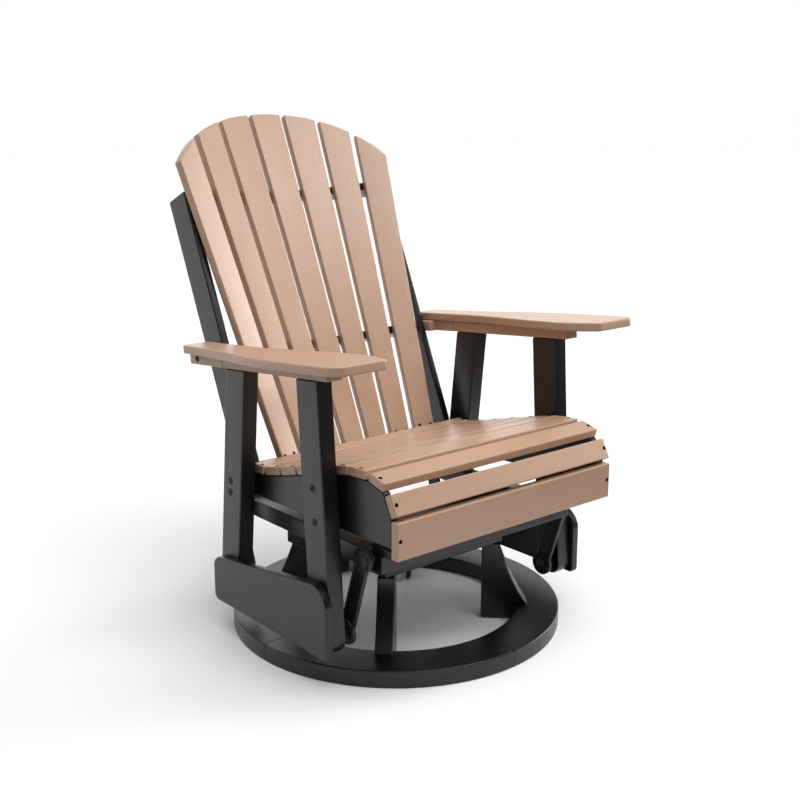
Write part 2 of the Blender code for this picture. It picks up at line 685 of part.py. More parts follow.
def armrests(parent, look):
    """Broad armrests that fall a little to the rear, the cleats over the posts, and the blocks beside the stiles."""
    fall = math.radians(ARMREST_FALL)
    plane = Matrix.Translation((0, 0, ARMREST_HEIGHT)) @ Matrix.Rotation(-fall, 4, "X")
    rear = ARMREST_LENGTH - ARMREST_FRONT + BLOCK_OVERHANG
    for side, sign in SIDES.items():
        rest = round_edges(prism_z(armrest_outline(sign), -BOARD, 0))
        cleat_top = -BOARD - GAP
        cleat = prism_x([(-CLEAT_FRONT, cleat_top - CLEAT_DEPTH), (CLEAT_REAR, cleat_top - CLEAT_DEPTH),
                         (CLEAT_REAR, cleat_top), (-CLEAT_FRONT, cleat_top)], sign * post_inner, sign * post_outer)
        block_front = CLEAT_REAR + GAP
        block_inner = stile_inner + BOARD + GAP
        plan = [(post_outer, block_front), (post_outer, rear), (block_inner, rear), (block_inner, rear - BLOCK_HEEL),
                (post_inner, rear - BLOCK_HEEL), (post_inner, block_front)]
        block = prism_z([(sign * x, y) for x, y in plan], cleat_top - BLOCK_DEPTH, cleat_top)
        for name, shape in (("armrest", rest), ("armrest_cleat", round_edges(cleat)),
                            ("armrest_block", round_edges(block))):
            bmesh.ops.transform(shape, matrix=plane, verts=shape.verts)
            add_piece(f"{name}_{side}", shape, parent, look)


# Back

def back_edge_x(slat, edge, height):
    """X of an edge of slat 0 to 3, counted from the middle, at a height along the back."""
    low = back_low_edge_shares[slat][edge] * back_half_width
    high = back_high_edge_shares[slat][edge] * back_half_width
    return low + (high - low) * (height - BACK_LOW_MARK) / (BACK_HIGH_MARK - BACK_LOW_MARK)


def hollow(x):
    """How far the back's face stands forward of its middle line at x."""
    return x ** 2 / (2 * BACK_RADIUS)


def arch(x):
    """Height of the back's arched top at x."""
    t = x / back_half_width
    return BACK_LENGTH - ARCH_DROP * (arch_round_share * t ** 2 + (1 - arch_round_share) * t ** 4)


def back_place(x, height, depth):
    """A world point from its x, its height up the back and its depth behind the middle of the slats' faces."""
    angle = math.radians(BACK_ANGLE)
    seat_hollow = hollow(back_edge_x(-1, 1, 0)) / math.cos(angle)
    foot = SEAT_REAR_Y + BACK_CLEARANCE + seat_hollow
    return Vector((x, foot + height * math.sin(angle) + depth * math.cos(angle),
                   SEAT_REAR_HEIGHT - BACK_BELOW_SEAT + height * math.cos(angle) - depth * math.sin(angle)))


def slat_chord(slat, height, depth):
    """(x, depth) ends of a slat's section at a height, moved back square to its face."""
    ends = [Vector((back_edge_x(slat, edge, height), -hollow(back_edge_x(slat, edge, height)))) for edge in (0, 1)]
    along = (ends[1] - ends[0]).normalized()
    return [end + Vector((-along.y, along.x)) * depth for end in ends]


def slat_face(slat, depth):
    """World points of one face of a slat: pairs of edge points up to the shoulders, then the arch."""
    def on_chord(height, share):
        ends = slat_chord(slat, height, depth)
        return ends[0] * (1 - share) + ends[1] * share

    def arch_height(share):
        return arch(back_edge_x(slat, 0, BACK_HIGH_MARK) * (1 - share) + back_edge_x(slat, 1, BACK_HIGH_MARK) * share)

    shoulder = min(arch_height(0), arch_height(1)) - 2 * ROUND_OVER
    rows = []
    for station in range(BACK_STATIONS + 1):
        height = -BACK_SLAT_DROP + (shoulder + BACK_SLAT_DROP) * station / BACK_STATIONS
        ends = slat_chord(slat, height, depth)
        rows.append([back_place(end.x, height, end.y) for end in ends])
    crown = []
    for step in range(ARCH_STEPS + 1):
        share = step / ARCH_STEPS
        height = arch_height(share)
        point = on_chord(height, share)
        crown.append(back_place(point.x, height, point.y))
    return rows, crown


def slat_shape(slat):
    """A slat of the back: flat across, slightly tapered and cut to the arch at the top."""
    shape = bmesh.new()
    faces = []
    for depth in (0, BOARD):
        rows, crown = slat_face(slat, depth)
        rows = [[shape.verts.new(point) for point in row] for row in rows]
        crown = [shape.verts.new(point) for point in crown]
        for low, high in zip(rows, rows[1:]):
            shape.faces.new([low[0], low[1], high[1], high[0]])
        shape.faces.new([rows[-1][0], rows[-1][1], *reversed(crown)])
        faces.append([row[0] for row in rows] + crown + [row[1] for row in reversed(rows)])
    rim = list(zip(*faces))
    for first, last in zip(rim, rim[1:] + rim[:1]):
        shape.faces.new([first[0], last[0], last[1], first[1]])
    bmesh.ops.recalc_face_normals(shape, faces=shape.faces)
    return round_edges(shape)


def back_slats(parent, look):
    """Seven slats fanned from the seat to an arched top, numbered from the left."""
    middle = len(back_low_edge_shares)
    for slat in range(middle):
        for sign in (-1, 1) if slat else (1,):
            shape = slat_shape(slat)
            if sign < 0:
                bmesh.ops.scale(shape, vec=(-1, 1, 1), verts=shape.verts)
                bmesh.ops.recalc_face_normals(shape, faces=shape.faces)
            add_piece(f"back_slat_{middle + sign * slat}", shape, parent, look)


def stile_front(height):
    """Depth of the stile's front edge at a height: against the outer slat at its top, leaning back below it."""
    ends = slat_chord(-1, STILE_TOP, BOARD)
    share = (stile_inner - ends[0].x) / (ends[1].x - ends[0].x)
    seated = ends[0].y * (1 - share) + ends[1].y * share + GAP
    return seated + (STILE_TOP - height) * math.tan(math.radians(STILE_LEAN))


def stiles(parent, look):
    """Two stiles beside the cross rails, notched at the foot where they pass inside the seat rails."""
    lean = math.radians(BACK_ANGLE - STILE_LEAN)
    front_top = back_place(0, STILE_TOP, stile_front(STILE_TOP)).yz
    along = Vector((math.sin(lean), math.cos(lean)))
    rear_top = front_top + Vector((math.cos(lean), -math.sin(lean))) * STILE_WIDTH
    floor = ((0, STILE_FOOT_HEIGHT), (1, STILE_FOOT_HEIGHT))
    outline = [crossing((front_top, front_top - along), floor), crossing((rear_top, rear_top - along), floor),
               tuple(rear_top), tuple(front_top)]
    tail, rear = (Vector(point) for point in rail_top()[:2])
    slope = (rear - tail).normalized()
    lift = Vector((0, GAP))
    reach = tail - slope * STILE_WIDTH + lift
    notch = [tuple(reach), tuple(rear + slope * STILE_WIDTH + lift), (rear.x, 0), (tail.x + STILE_WIDTH, 0)]
    for side, sign in SIDES.items():
        stile = round_edges(prism_x(outline, sign * stile_inner, sign * (stile_inner + BOARD)))
        cutter = prism_x(notch, sign * (seat_rail_inner - GAP), sign * (stile_inner + BOARD + OVERRUN))
        add_piece(f"back_stile_{side}", boolean(stile, cutter, "DIFFERENCE"), parent, look)


def back_rail_outline(height):
    """(x, depth) outline of a cross rail: the front edge follows the slats' backs and the rear edge is straight."""
    end = stile_inner - GAP
    low = height - BOARD / 2
    lines = [slat_chord(slat, low, BOARD + GAP) for slat in range(len(back_low_edge_shares))]
    front = [crossing(lines[k], lines[k + 1]) for k in range(len(lines) - 1)]
    reach = crossing(lines[-1], ((end, 0), (end, 1)))
    front.append((end, max(reach[1], stile_front(height))))
    rear = BOARD + GAP + BACK_RAIL_DEPTH
    stile_rear = min(rear, stile_front(height) + STILE_WIDTH)
    right = [*front, (end, stile_rear), (end - BACK_RAIL_TAPER, rear)]
    return right + [(-x, depth) for x, depth in reversed(right)]


def back_rails(parent, look):
    """Three cross rails set square to the back, between the stiles, to which the slats are screwed."""
    for name, height in BACK_RAIL_PLACES.items():
        outline = back_rail_outline(height)
        low = [back_place(x, height - BOARD / 2, depth) for x, depth in outline]
        shift = back_place(0, BOARD, 0) - back_place(0, 0, 0)
        add_piece(f"back_rail_{name}", round_edges(prism(low, shift)), parent, look)


def stand_on_origin(root):
    """Moves the whole chair so that the origin is under the middle of its box, on the floor."""
    bpy.context.view_layer.update()
    points = [piece.matrix_world @ vertex.co for piece in bpy.data.objects if piece.type == "MESH"
              for vertex in piece.data.vertices]
    for axis in (0, 1):
        values = [point[axis] for point in points]
        root.location[axis] -= (min(values) + max(values)) / 2
    root.location.z -= min(point.z for point in points)
    bpy.context.view_layer.update()
    print("swivel axis at", [round(value, 5) for value in root.matrix_world.translation])
    for joint in (item for item in bpy.data.objects if item.type == "EMPTY"):
        print(joint.name, [round(value, 5) for value in joint.matrix_world.translation])


def build():
    for item in list(bpy.data.objects):
        bpy.data.objects.remove(item)
    tan = material("tan_board", (0.55, 0.36, 0.27), 0.5)
    black = material("black_board", (0.018, 0.018, 0.019), 0.5)
    moulded = material("black_moulding", (0.012, 0.012, 0.013), 0.4)
    steel = material("zinc_steel", (0.45, 0.45, 0.44), 0.35, 1.0)

    base = empty("base_on_floor", (0, 0, 0))
    frame = empty("swivel_axis", (0, 0, upper_plate_bottom), base)
    pivots = {}
    for end, way in ENDS.items():
        for side, sign in SIDES.items():
            place = (0, GLIDE_CENTRE_Y + way * TOP_PIVOT_REACH, top_pivot_height)
            pivots[end, side] = empty(f"top_pivot_{end}_{side}", place, frame)
    chair_place = (0, GLIDE_CENTRE_Y - BOTTOM_PIVOT_REACH, bottom_pivot_height)
    chair = empty("chair_pivot", chair_place, pivots["front", "left"])

    ring(base, black)
    legs(base, black)
    hub(base, black)
    swivel(base, frame, steel)
    swivel_frame(frame, black)
    glider_arms(pivots, moulded)
    seat_slats(chair, tan)
    seat_rails(chair, black)
    posts(chair, black)
    post_spacers(chair, black)
    skirts(chair, black)
    armrests(chair, tan)
    back_slats(chair, tan)
    stiles(chair, black)
    back_rails(chair, black)
    stand_on_origin(base)


build()
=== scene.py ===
import json
import math

import bmesh
import bpy
from mathutils import Matrix, Vector
from mathutils.bvhtree import BVHTree


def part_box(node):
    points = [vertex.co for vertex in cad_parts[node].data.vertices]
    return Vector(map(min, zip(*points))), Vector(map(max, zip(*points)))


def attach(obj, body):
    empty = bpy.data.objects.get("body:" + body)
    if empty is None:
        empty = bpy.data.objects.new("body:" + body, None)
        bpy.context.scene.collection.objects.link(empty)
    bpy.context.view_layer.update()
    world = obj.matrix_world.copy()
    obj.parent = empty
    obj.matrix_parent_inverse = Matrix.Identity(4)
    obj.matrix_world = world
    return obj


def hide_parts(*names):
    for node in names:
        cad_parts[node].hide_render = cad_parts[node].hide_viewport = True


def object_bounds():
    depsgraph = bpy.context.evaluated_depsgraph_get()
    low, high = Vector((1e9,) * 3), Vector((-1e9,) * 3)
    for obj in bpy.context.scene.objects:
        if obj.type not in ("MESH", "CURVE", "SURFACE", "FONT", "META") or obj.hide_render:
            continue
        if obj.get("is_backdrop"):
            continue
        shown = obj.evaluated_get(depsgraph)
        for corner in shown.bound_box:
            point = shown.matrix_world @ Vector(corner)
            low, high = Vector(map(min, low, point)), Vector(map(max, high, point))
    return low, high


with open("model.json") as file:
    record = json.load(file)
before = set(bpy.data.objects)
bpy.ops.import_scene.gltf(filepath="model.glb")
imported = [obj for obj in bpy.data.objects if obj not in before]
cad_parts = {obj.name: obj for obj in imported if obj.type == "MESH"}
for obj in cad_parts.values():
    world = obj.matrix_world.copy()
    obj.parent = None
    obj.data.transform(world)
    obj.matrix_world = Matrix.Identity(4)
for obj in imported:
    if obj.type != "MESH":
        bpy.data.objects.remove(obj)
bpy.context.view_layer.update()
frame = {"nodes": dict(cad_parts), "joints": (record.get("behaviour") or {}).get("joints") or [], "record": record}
cad_nodes = frame["nodes"]
bodies = frame["record"]["behaviour"]["bodies"]
cad_body = {node: body for body, members in bodies.items() for node in members}
pivot = {joint["name"]: Vector(joint["pos_m"]) for joint in frame["joints"]}
axis_y = pivot["swivel"].y
SIDES = {"left": -1, "right": 1}
ENDS = {"front": -1, "rear": 1}


# Floor ring. Four quarter segments sawn from thick black recycled-plastic board, rounded over with a router
# and butted end to end, so that a fine line shows at each seam. All boards have a fine satin grain.
QUARTER = math.tau / 4
RING_WIDTH = 0.0965
RING_STEPS = 30
ROUND_OVER = 0.003
ROUND_STEPS = 4
SEAM_CHAMFER = 0.0007
SEAM_STEPS = 2
SEAM_GAP = 0.0006
SEAM_TURN = 1.8
SHARP_ANGLE = 50
NOISE_ROUGHNESS = 0.6
BOARD_NOISE = {
    "Streaks": (260, (0.035, 1, 1), 4.0),
    "Speckle": (620, (0.7, 1, 1), 3.0),
    "Drift": (11, (0.5, 1, 1), 2.0),
}
SPECKLE_ROUGHNESS = 0.22
DRIFT_ROUGHNESS = 0.12
STREAK_HEIGHT = 0.6
BOARD_BUMP = {"Strength": 0.35, "Distance": 0.0004}
GRAIN_SHIFT = (1.37, 0.71, 0.43)
BLACK = (0.0042, 0.0034, 0.0037, 1)
BLACK_GRAIN = {"Streaks": 0.5, "Speckle": 0.7, "Drift": 0.3, "Satin": 0.32}
BLACK_SPECULAR = 0.52


def feed(tree, sockets, values):
    """Links each named input socket to an output socket, or gives it a plain value."""
    for name, value in values.items():
        if isinstance(value, bpy.types.NodeSocket):
            tree.links.new(value, sockets[name])
        else:
            sockets[name].default_value = value


def add_node(tree, kind, inputs=None, **settings):
    """A node in a tree, with its properties set and its inputs fed."""
    made = tree.nodes.new(kind)
    for name, value in settings.items():
        setattr(made, name, value)
    feed(tree, made.inputs, inputs or {})
    return made


def noise(tree, place, scale, stretch=(1, 1, 1), detail=2.0):
    """Noise at a scale, stretched along the axes of a place."""
    mapped = add_node(tree, "ShaderNodeMapping", {"Scale": stretch, "Vector": place}).outputs["Vector"]
    inputs = {"Scale": scale, "Detail": detail, "Roughness": NOISE_ROUGHNESS, "Vector": mapped}
    return add_node(tree, "ShaderNodeTexNoise", inputs).outputs["Fac"]


def reckon(tree, operation, *values):
    """The result of a Math node on sockets and numbers."""
    return add_node(tree, "ShaderNodeMath", dict(enumerate(values)), operation=operation).outputs[0]


def board_grain_group():
    """Node group for the plastic boards: streaks along the board, fine speckle, broad drift, and a bump."""
    group = bpy.data.node_groups.new("board grain", "ShaderNodeTree")
    sockets = {
        "INPUT": {"Place": "Vector", "Colour": "Color", "Streaks": "Float", "Speckle": "Float",
                  "Drift": "Float", "Satin": "Float"},
        "OUTPUT": {"Colour": "Color", "Roughness": "Float", "Normal": "Vector"},
    }
    for way, kinds in sockets.items():
        for name, kind in kinds.items():
            group.interface.new_socket(name, in_out=way, socket_type=f"NodeSocket{kind}")
    given = add_node(group, "NodeGroupInput").outputs
    made = add_node(group, "NodeGroupOutput").inputs
    waves = {}
    shade = 1.0
    for name, (scale, stretch, detail) in BOARD_NOISE.items():
        wave = noise(group, given["Place"], scale, stretch, detail)
        waves[name] = reckon(group, "SUBTRACT", wave, 0.5)
        shade = reckon(group, "MULTIPLY_ADD", waves[name], given[name], shade)
    tint = add_node(group, "ShaderNodeVectorMath", {0: given["Colour"], "Scale": shade}, operation="SCALE")
    rough = reckon(group, "MULTIPLY_ADD", waves["Speckle"], SPECKLE_ROUGHNESS, given["Satin"])
    rough = reckon(group, "MULTIPLY_ADD", waves["Drift"], DRIFT_ROUGHNESS, rough)
    height = reckon(group, "MULTIPLY_ADD", waves["Streaks"], STREAK_HEIGHT, waves["Speckle"])
    bump = add_node(group, "ShaderNodeBump", {**BOARD_BUMP, "Height": height})
    feed(group, made, {"Colour": tint.outputs[0], "Roughness": rough, "Normal": bump.outputs["Normal"]})
    return group


board_grain = board_grain_group()


def new_material(name):
    """A new material, its node tree and its shader's inputs."""
    made = bpy.data.materials.new(name)
    made.use_nodes = True
    return made, made.node_tree, made.node_tree.nodes["Principled BSDF"].inputs


def board_material(name, colour, grain, specular):
    """Board plastic of one colour, whose grain runs along each board's own grain attribute."""
    made, tree, shader = new_material(name)
    place = add_node(tree, "ShaderNodeAttribute", attribute_name="grain").outputs["Vector"]
    inputs = {"Place": place, "Colour": colour, **grain}
    finish = add_node(tree, "ShaderNodeGroup", inputs, node_tree=board_grain).outputs
    feed(tree, shader, {
        "Base Color": finish["Colour"],
        "Roughness": finish["Roughness"],
        "Specular IOR Level": specular,
        "Normal": finish["Normal"],
    })
    return made


board_finish = {"black_board": board_material("black_board_plastic", BLACK, BLACK_GRAIN, BLACK_SPECULAR)}
boards_made = []


def longest_way(shape):
    """The direction of a board's longest edge."""
    edge = max(shape.edges, key=lambda item: item.calc_length())
    return (edge.verts[1].co - edge.verts[0].co).normalized()


def add_piece(name, shape, look, body, replaced=(), weighted=True):
    """Makes a finished bmesh a smooth-shaded piece that rides on a body and stands for CAD nodes."""
    mesh = bpy.data.meshes.new(name)
    shape.to_mesh(mesh)
    shape.free()
    mesh.materials.append(look)
    mesh.shade_smooth()
    mesh.set_sharp_from_angle(angle=math.radians(SHARP_ANGLE))
    piece = bpy.data.objects.new(name, mesh)
    bpy.context.scene.collection.objects.link(piece)
    if weighted:
        piece.modifiers.new("flat faces", "WEIGHTED_NORMAL").keep_sharp = True
    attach(piece, body)
    if replaced:
        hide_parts(*replaced)
    return piece


def add_board(name, shape, slot, node, along=None):
    """A board for a node. Its grain attribute is each point's place along, across and through the grain."""
    way = Vector(along).normalized() if along else longest_way(shape)
    across = way.orthogonal().normalized()
    turn = Matrix((way, across, way.cross(across)))
    shift = Vector(GRAIN_SHIFT) * len(boards_made)
    piece = add_piece(name, shape, board_finish[slot], cad_body[node], (node,))
    place = piece.data.attributes.new("grain", "FLOAT_VECTOR", "POINT")
    for point, vertex in zip(place.data, piece.data.vertices):
        point.vector = turn @ vertex.co + shift
    boards_made.append(name)


def soften(shape, geometry, offset, steps, affect="EDGES"):
    """Rounds edges or corners of a shape."""
    bmesh.ops.bevel(shape, geom=geometry, offset=offset, segments=steps, profile=0.5, affect=affect,
                    material=-1)


def ring_segment(number):
    """A quarter of the ring: a rounded section swept a quarter turn, with a chamfer round each sawn end."""
    low, high = map(Vector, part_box("ring"))
    inner, outer = high.x - RING_WIDTH, high.x
    shape = bmesh.new()
    corners = ((inner, low.z), (outer, low.z), (outer, high.z), (inner, high.z))
    section = shape.faces.new([shape.verts.new((radius, 0, z)) for radius, z in corners])
    soften(shape, section.verts[:], ROUND_OVER, ROUND_STEPS, "VERTICES")
    bmesh.ops.delete(shape, geom=shape.faces[:], context="FACES_ONLY")
    seam = SEAM_GAP / outer
    start = Matrix.Rotation(number * QUARTER + math.radians(SEAM_TURN) + seam / 2, 4, "Z")
    bmesh.ops.transform(shape, matrix=start, verts=shape.verts)
    bmesh.ops.spin(shape, geom=shape.verts[:] + shape.edges[:], cent=(0, 0, 0), axis=(0, 0, 1),
                   angle=QUARTER - seam, steps=RING_STEPS)
    caps = bmesh.ops.holes_fill(shape, edges=[edge for edge in shape.edges if edge.is_boundary])["faces"]
    bmesh.ops.recalc_face_normals(shape, faces=shape.faces)
    soften(shape, [edge for face in caps for edge in face.edges], SEAM_CHAMFER, SEAM_STEPS)
    bmesh.ops.translate(shape, verts=shape.verts, vec=(0, axis_y, 0))
    return shape


for number in range(4):
    middle = (number + 0.5) * QUARTER
    add_board(f"ring_segment_{number + 1}", ring_segment(number), "black_board", "ring",
              (-math.sin(middle), math.cos(middle), 0))


# Legs and hub. Four legs of thick black board are band-sawn to stand inside the ring, step over it and sweep
# in under the square hub board.
MERGE = 0.00002
FLAT_ANGLE = 0.5


def joined_copy(node):
    """A copy of a CAD node with its corners joined."""
    shape = bmesh.new()
    shape.from_mesh(cad_nodes[node].data)
    bmesh.ops.remove_doubles(shape, verts=shape.verts, dist=MERGE)
    return shape


def merged_copy(node):
    """A copy of a CAD node with its corners joined and its flat faces whole."""
    shape = joined_copy(node)
    bmesh.ops.dissolve_limit(shape, angle_limit=math.radians(FLAT_ANGLE), use_dissolve_boundaries=False,
                             verts=shape.verts, edges=shape.edges, delimit=set())
    return shape


for end in ENDS:
    for side in SIDES:
        node = f"leg_{end}_{side}"
        add_board(f"{node}_board", merged_copy(node), "black_board", node, (0, 0, 1))
add_board("hub_square_board", merged_copy("hub_board"), "black_board", "hub_board", (1, 0, 0))


# Swivel. A zinc-plated centre tube with a flange under the hub, and two pressed plates with a turned race
# between them. Four hexagon bolts hold the flange, and four more come up through the hub into the plate.
ZINC = (0.46, 0.46, 0.45, 1)
ZINC_ROUGHNESS = 0.42
METAL_TEXTURE = {
    "fine": (180, 3.0),
    "broad": (180, 3.0),
    "shade": (0.3, 0.85),
    "roughness": (0.25, -0.12),
    "bump": {"Strength": 0.2, "Distance": 0.0002},
}
TURN_STEPS = 24
HEX_RADIUS = 0.0062
HEX_HEIGHT = 0.0045
HEX_CHAMFER = 0.0008
HEX_CROWN = 0.82
WASHER_RADIUS = 0.0085
WASHER = 0.0012
FLANGE_BOLT_CIRCLE = 0.036
PLATE_BOLT_REACH = 0.062


def textured_material(name, colour, roughness, texture, metallic=0.0, specular=0.5):
    """Metal or moulded plastic with a fine texture, on the object's own coordinates."""
    made, tree, shader = new_material(name)
    place = add_node(tree, "ShaderNodeTexCoord").outputs["Object"]
    fine, broad = (noise(tree, place, texture[key][0], detail=texture[key][1]) for key in ("fine", "broad"))
    shade = reckon(tree, "MULTIPLY_ADD", fine, *texture["shade"])
    tint = add_node(tree, "ShaderNodeVectorMath", {0: colour[:3], "Scale": shade}, operation="SCALE")
    spread, shift = texture["roughness"]
    bump = add_node(tree, "ShaderNodeBump", {**texture["bump"], "Height": fine})
    feed(tree, shader, {
        "Base Color": tint.outputs[0],
        "Metallic": metallic,
        "Roughness": reckon(tree, "MULTIPLY_ADD", broad, spread, roughness + shift),
        "Specular IOR Level": specular,
        "Normal": bump.outputs["Normal"],
    })
    return made


def turned(profile, steps=TURN_STEPS):
    """A closed shape turned about Z from a profile of (radius, z) points that starts and ends on the axis."""
    shape = bmesh.new()
    points = [shape.verts.new((radius, 0, z)) for radius, z in profile]
    for first, last in zip(points, points[1:]):
        shape.edges.new((first, last))
    bmesh.ops.spin(shape, geom=shape.verts[:] + shape.edges[:], cent=(0, 0, 0), axis=(0, 0, 1),
                   angle=math.tau, steps=steps, use_merge=True)
    bmesh.ops.remove_doubles(shape, verts=shape.verts, dist=MERGE)
    bmesh.ops.recalc_face_normals(shape, faces=shape.faces)
    return shape


def stand_on(shape, point, way):
    """Turns a shape's +Z to a way and moves its origin to a point."""
    turn = Vector((0, 0, 1)).rotation_difference(Vector(way)).to_matrix().to_4x4()
    bmesh.ops.transform(shape, matrix=Matrix.Translation(point) @ turn, verts=shape.verts)
    return shape


def together(shapes):
    """Several shapes in one bmesh."""
    whole = bmesh.new()
    for shape in shapes:
        part = bpy.data.meshes.new("part")
        shape.to_mesh(part)
        shape.free()
        whole.from_mesh(part)
        bpy.data.meshes.remove(part)
    return whole


def hex_bolt():
    """A hexagon head with a chamfered top, on a washer."""
    head = turned([(0, 0), (HEX_RADIUS, 0), (HEX_RADIUS, HEX_HEIGHT - HEX_CHAMFER),
                   (HEX_RADIUS * HEX_CROWN, HEX_HEIGHT), (0, HEX_HEIGHT)], 6)
    bmesh.ops.translate(head, verts=head.verts, vec=(0, 0, WASHER))
    washer = turned([(0, 0), (WASHER_RADIUS, 0), (WASHER_RADIUS, WASHER), (0, WASHER)])
    return together([head, washer])


zinc = textured_material("zinc_plate", ZINC, ZINC_ROUGHNESS, METAL_TEXTURE, metallic=1.0)
for node in ("swivel_tube", "swivel_plate_lower", "swivel_plate_upper"):
    add_piece(f"{node}_steel", joined_copy(node), zinc, cad_body[node], (node,))
plate_low, plate_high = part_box("swivel_plate_lower")
flange_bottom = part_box("swivel_tube")[1][2] - plate_high[2] + plate_low[2]
hub_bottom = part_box("hub_board")[0][2]
bolts = []
for quarter in range(4):
    angle = (quarter + 0.5) * QUARTER
    ring_place = Vector((math.cos(angle), math.sin(angle), 0))
    corner = Vector((math.copysign(1, ring_place.x), math.copysign(1, ring_place.y), 0)) * PLATE_BOLT_REACH
    for place, height in ((ring_place * FLANGE_BOLT_CIRCLE, flange_bottom), (corner, hub_bottom)):
        bolts.append(stand_on(hex_bolt(), Vector((0, axis_y, height)) + place, (0, 0, -1)))
add_piece("hub_bolts", together(bolts), zinc, cad_body["hub_board"])


# Swivel frame. A thick mount board on the upper plate carries two side rails and two cross rails laid flat,
# and a thinner cap board lies on each cross rail. All are straight black boards with finely rounded edges.
def rounded_box(size, round_over, steps):
    """A box about the origin with rounded edges."""
    shape = bmesh.new()
    bmesh.ops.create_cube(shape, size=1)
    bmesh.ops.scale(shape, vec=size, verts=shape.verts)
    soften(shape, shape.edges[:], round_over, steps)
    return shape


def plank(node, round_over=ROUND_OVER):
    """A straight board over the box of a CAD node, square to the node's own faces."""
    model = merged_copy(node)
    way = longest_way(model)
    broad = max(model.faces, key=lambda face: face.calc_area()).normal.copy()
    axes = (way, way.cross(broad).normalized(), broad)
    spans = [[axis.dot(vertex.co) for vertex in model.verts] for axis in axes]
    model.free()
    middle = sum((axis * (min(span) + max(span)) / 2 for axis, span in zip(axes, spans)), Vector())
    size = Vector([max(span) - min(span) for span in spans])
    shape = rounded_box(size, round_over, ROUND_STEPS)
    turn = Matrix(axes).transposed().to_4x4()
    bmesh.ops.transform(shape, matrix=Matrix.Translation(middle) @ turn, verts=shape.verts)
    bmesh.ops.recalc_face_normals(shape, faces=shape.faces)
    return shape


for node in ("mount_board", "side_rail_left", "side_rail_right", "cross_rail_front", "cross_rail_rear",
             "cross_cap_front", "cross_cap_rear"):
    add_board(f"{node}_black", plank(node), "black_board", node)


# Glider arms. Four black mouldings, each a flanged and ribbed bar between two dark grey bearing bosses, which
# have a ring of cored holes round a dimpled cap. A pale spacer sleeve keeps the top boss off the cross rail,
# and a black one the bottom boss off the post.
MOULDED_BLACK = (0.007, 0.007, 0.0072, 1)
BEARING_GREY = (0.026, 0.025, 0.026, 1)
SPACER_PALE = (0.17, 0.155, 0.13, 1)
MOULDING_ROUGHNESS = 0.42
BEARING_ROUGHNESS = 0.5
MOULDING_TEXTURE = {
    "fine": (900, 2.0),
    "broad": (40, 2.0),
    "shade": (0.5, 0.75),
    "roughness": (0.2, -0.1),
    "bump": {"Strength": 0.3, "Distance": 0.0002},
}
BLOCK_STEPS = 2
ARM_THICKNESS = 0.012
ARM_HALF_WIDTH = 0.019
ARM_INNER = 0.283
ARM_INSET = 0.003
BOSS_RADIUS = 0.027
BOSS_FLOOR = 0.0018
BOSS_RIM = 0.0028
BOSS_RIM_TOP = 0.0022
BOSS_EDGE = 0.0008
BOSS_STEPS = 48
CAP_RADIUS = 0.0125
BOSS_HOLES = 12
HOLE_RADIUS = 0.0031
HOLE_CIRCLE = 0.0205
DIMPLES = 10
DIMPLE_RADIUS = 0.001
DIMPLE_CIRCLE = 0.0092
HOLE_DEPTH = 2.2
DRILL_PROUD = 0.002
DRILL_STEPS = 10
BACK_RIBS = 3
BACK_RIB_PITCH = 0.006
BACK_RIB_HALF = 0.0006
BACK_RIB_SINK = 0.0003
BACK_RIB_RISE = 0.0005
BACK_RIB_ROUND = 0.0002
BACK_RIB_END = 0.0026
FLANGE = 0.0042
FLANGE_END = 0.006
FLANGE_ROUND = 0.0009
WEB = 0.002
WEB_INSET = 0.0015
WEB_OVERLAP = 0.001
WEB_ROUND = 0.0003
LONG_RIB = 0.0014
LONG_RIB_HEIGHT = 0.0035
LONG_RIB_END = 0.01
CROSS_RIBS = 3
SLEEVE_RADIUS = 0.0135
SLEEVE_EDGE = 0.0006
SLEEVE_OVERLAP = 0.001
SLEEVE_STEPS = 32
TOP_SLEEVE = 0.0117
BOTTOM_SLEEVE = 0.0197


def block(low, high, round_over):
    """A rounded block between two corners."""
    low, high = Vector(low), Vector(high)
    shape = rounded_box(high - low, round_over, BLOCK_STEPS)
    bmesh.ops.translate(shape, vec=(low + high) / 2, verts=shape.verts)
    return shape


def cut_away(body, tool):
    """The body less the tool, by one exact Boolean."""
    objects = []
    for shape in (body, tool):
        mesh = bpy.data.meshes.new("stock")
        shape.to_mesh(mesh)
        shape.free()
        objects.append(bpy.data.objects.new("stock", mesh))
        bpy.context.scene.collection.objects.link(objects[-1])
    cut = objects[0].modifiers.new("cut", "BOOLEAN")
    cut.operation = "DIFFERENCE"
    cut.solver = "EXACT"
    cut.object = objects[1]
    result = bmesh.new()
    result.from_object(objects[0], bpy.context.evaluated_depsgraph_get())
    for item in objects:
        mesh = item.data
        bpy.data.objects.remove(item)
        bpy.data.meshes.remove(mesh)
    return result


def drill(point, way, radius, depth, steps=DRILL_STEPS):
    """A cutter for a blind hole that goes in against a way, to a depth below the point."""
    profile = [(0, -depth), (radius, -depth), (radius, DRILL_PROUD), (0, DRILL_PROUD)]
    return stand_on(turned(profile, steps), point, way)


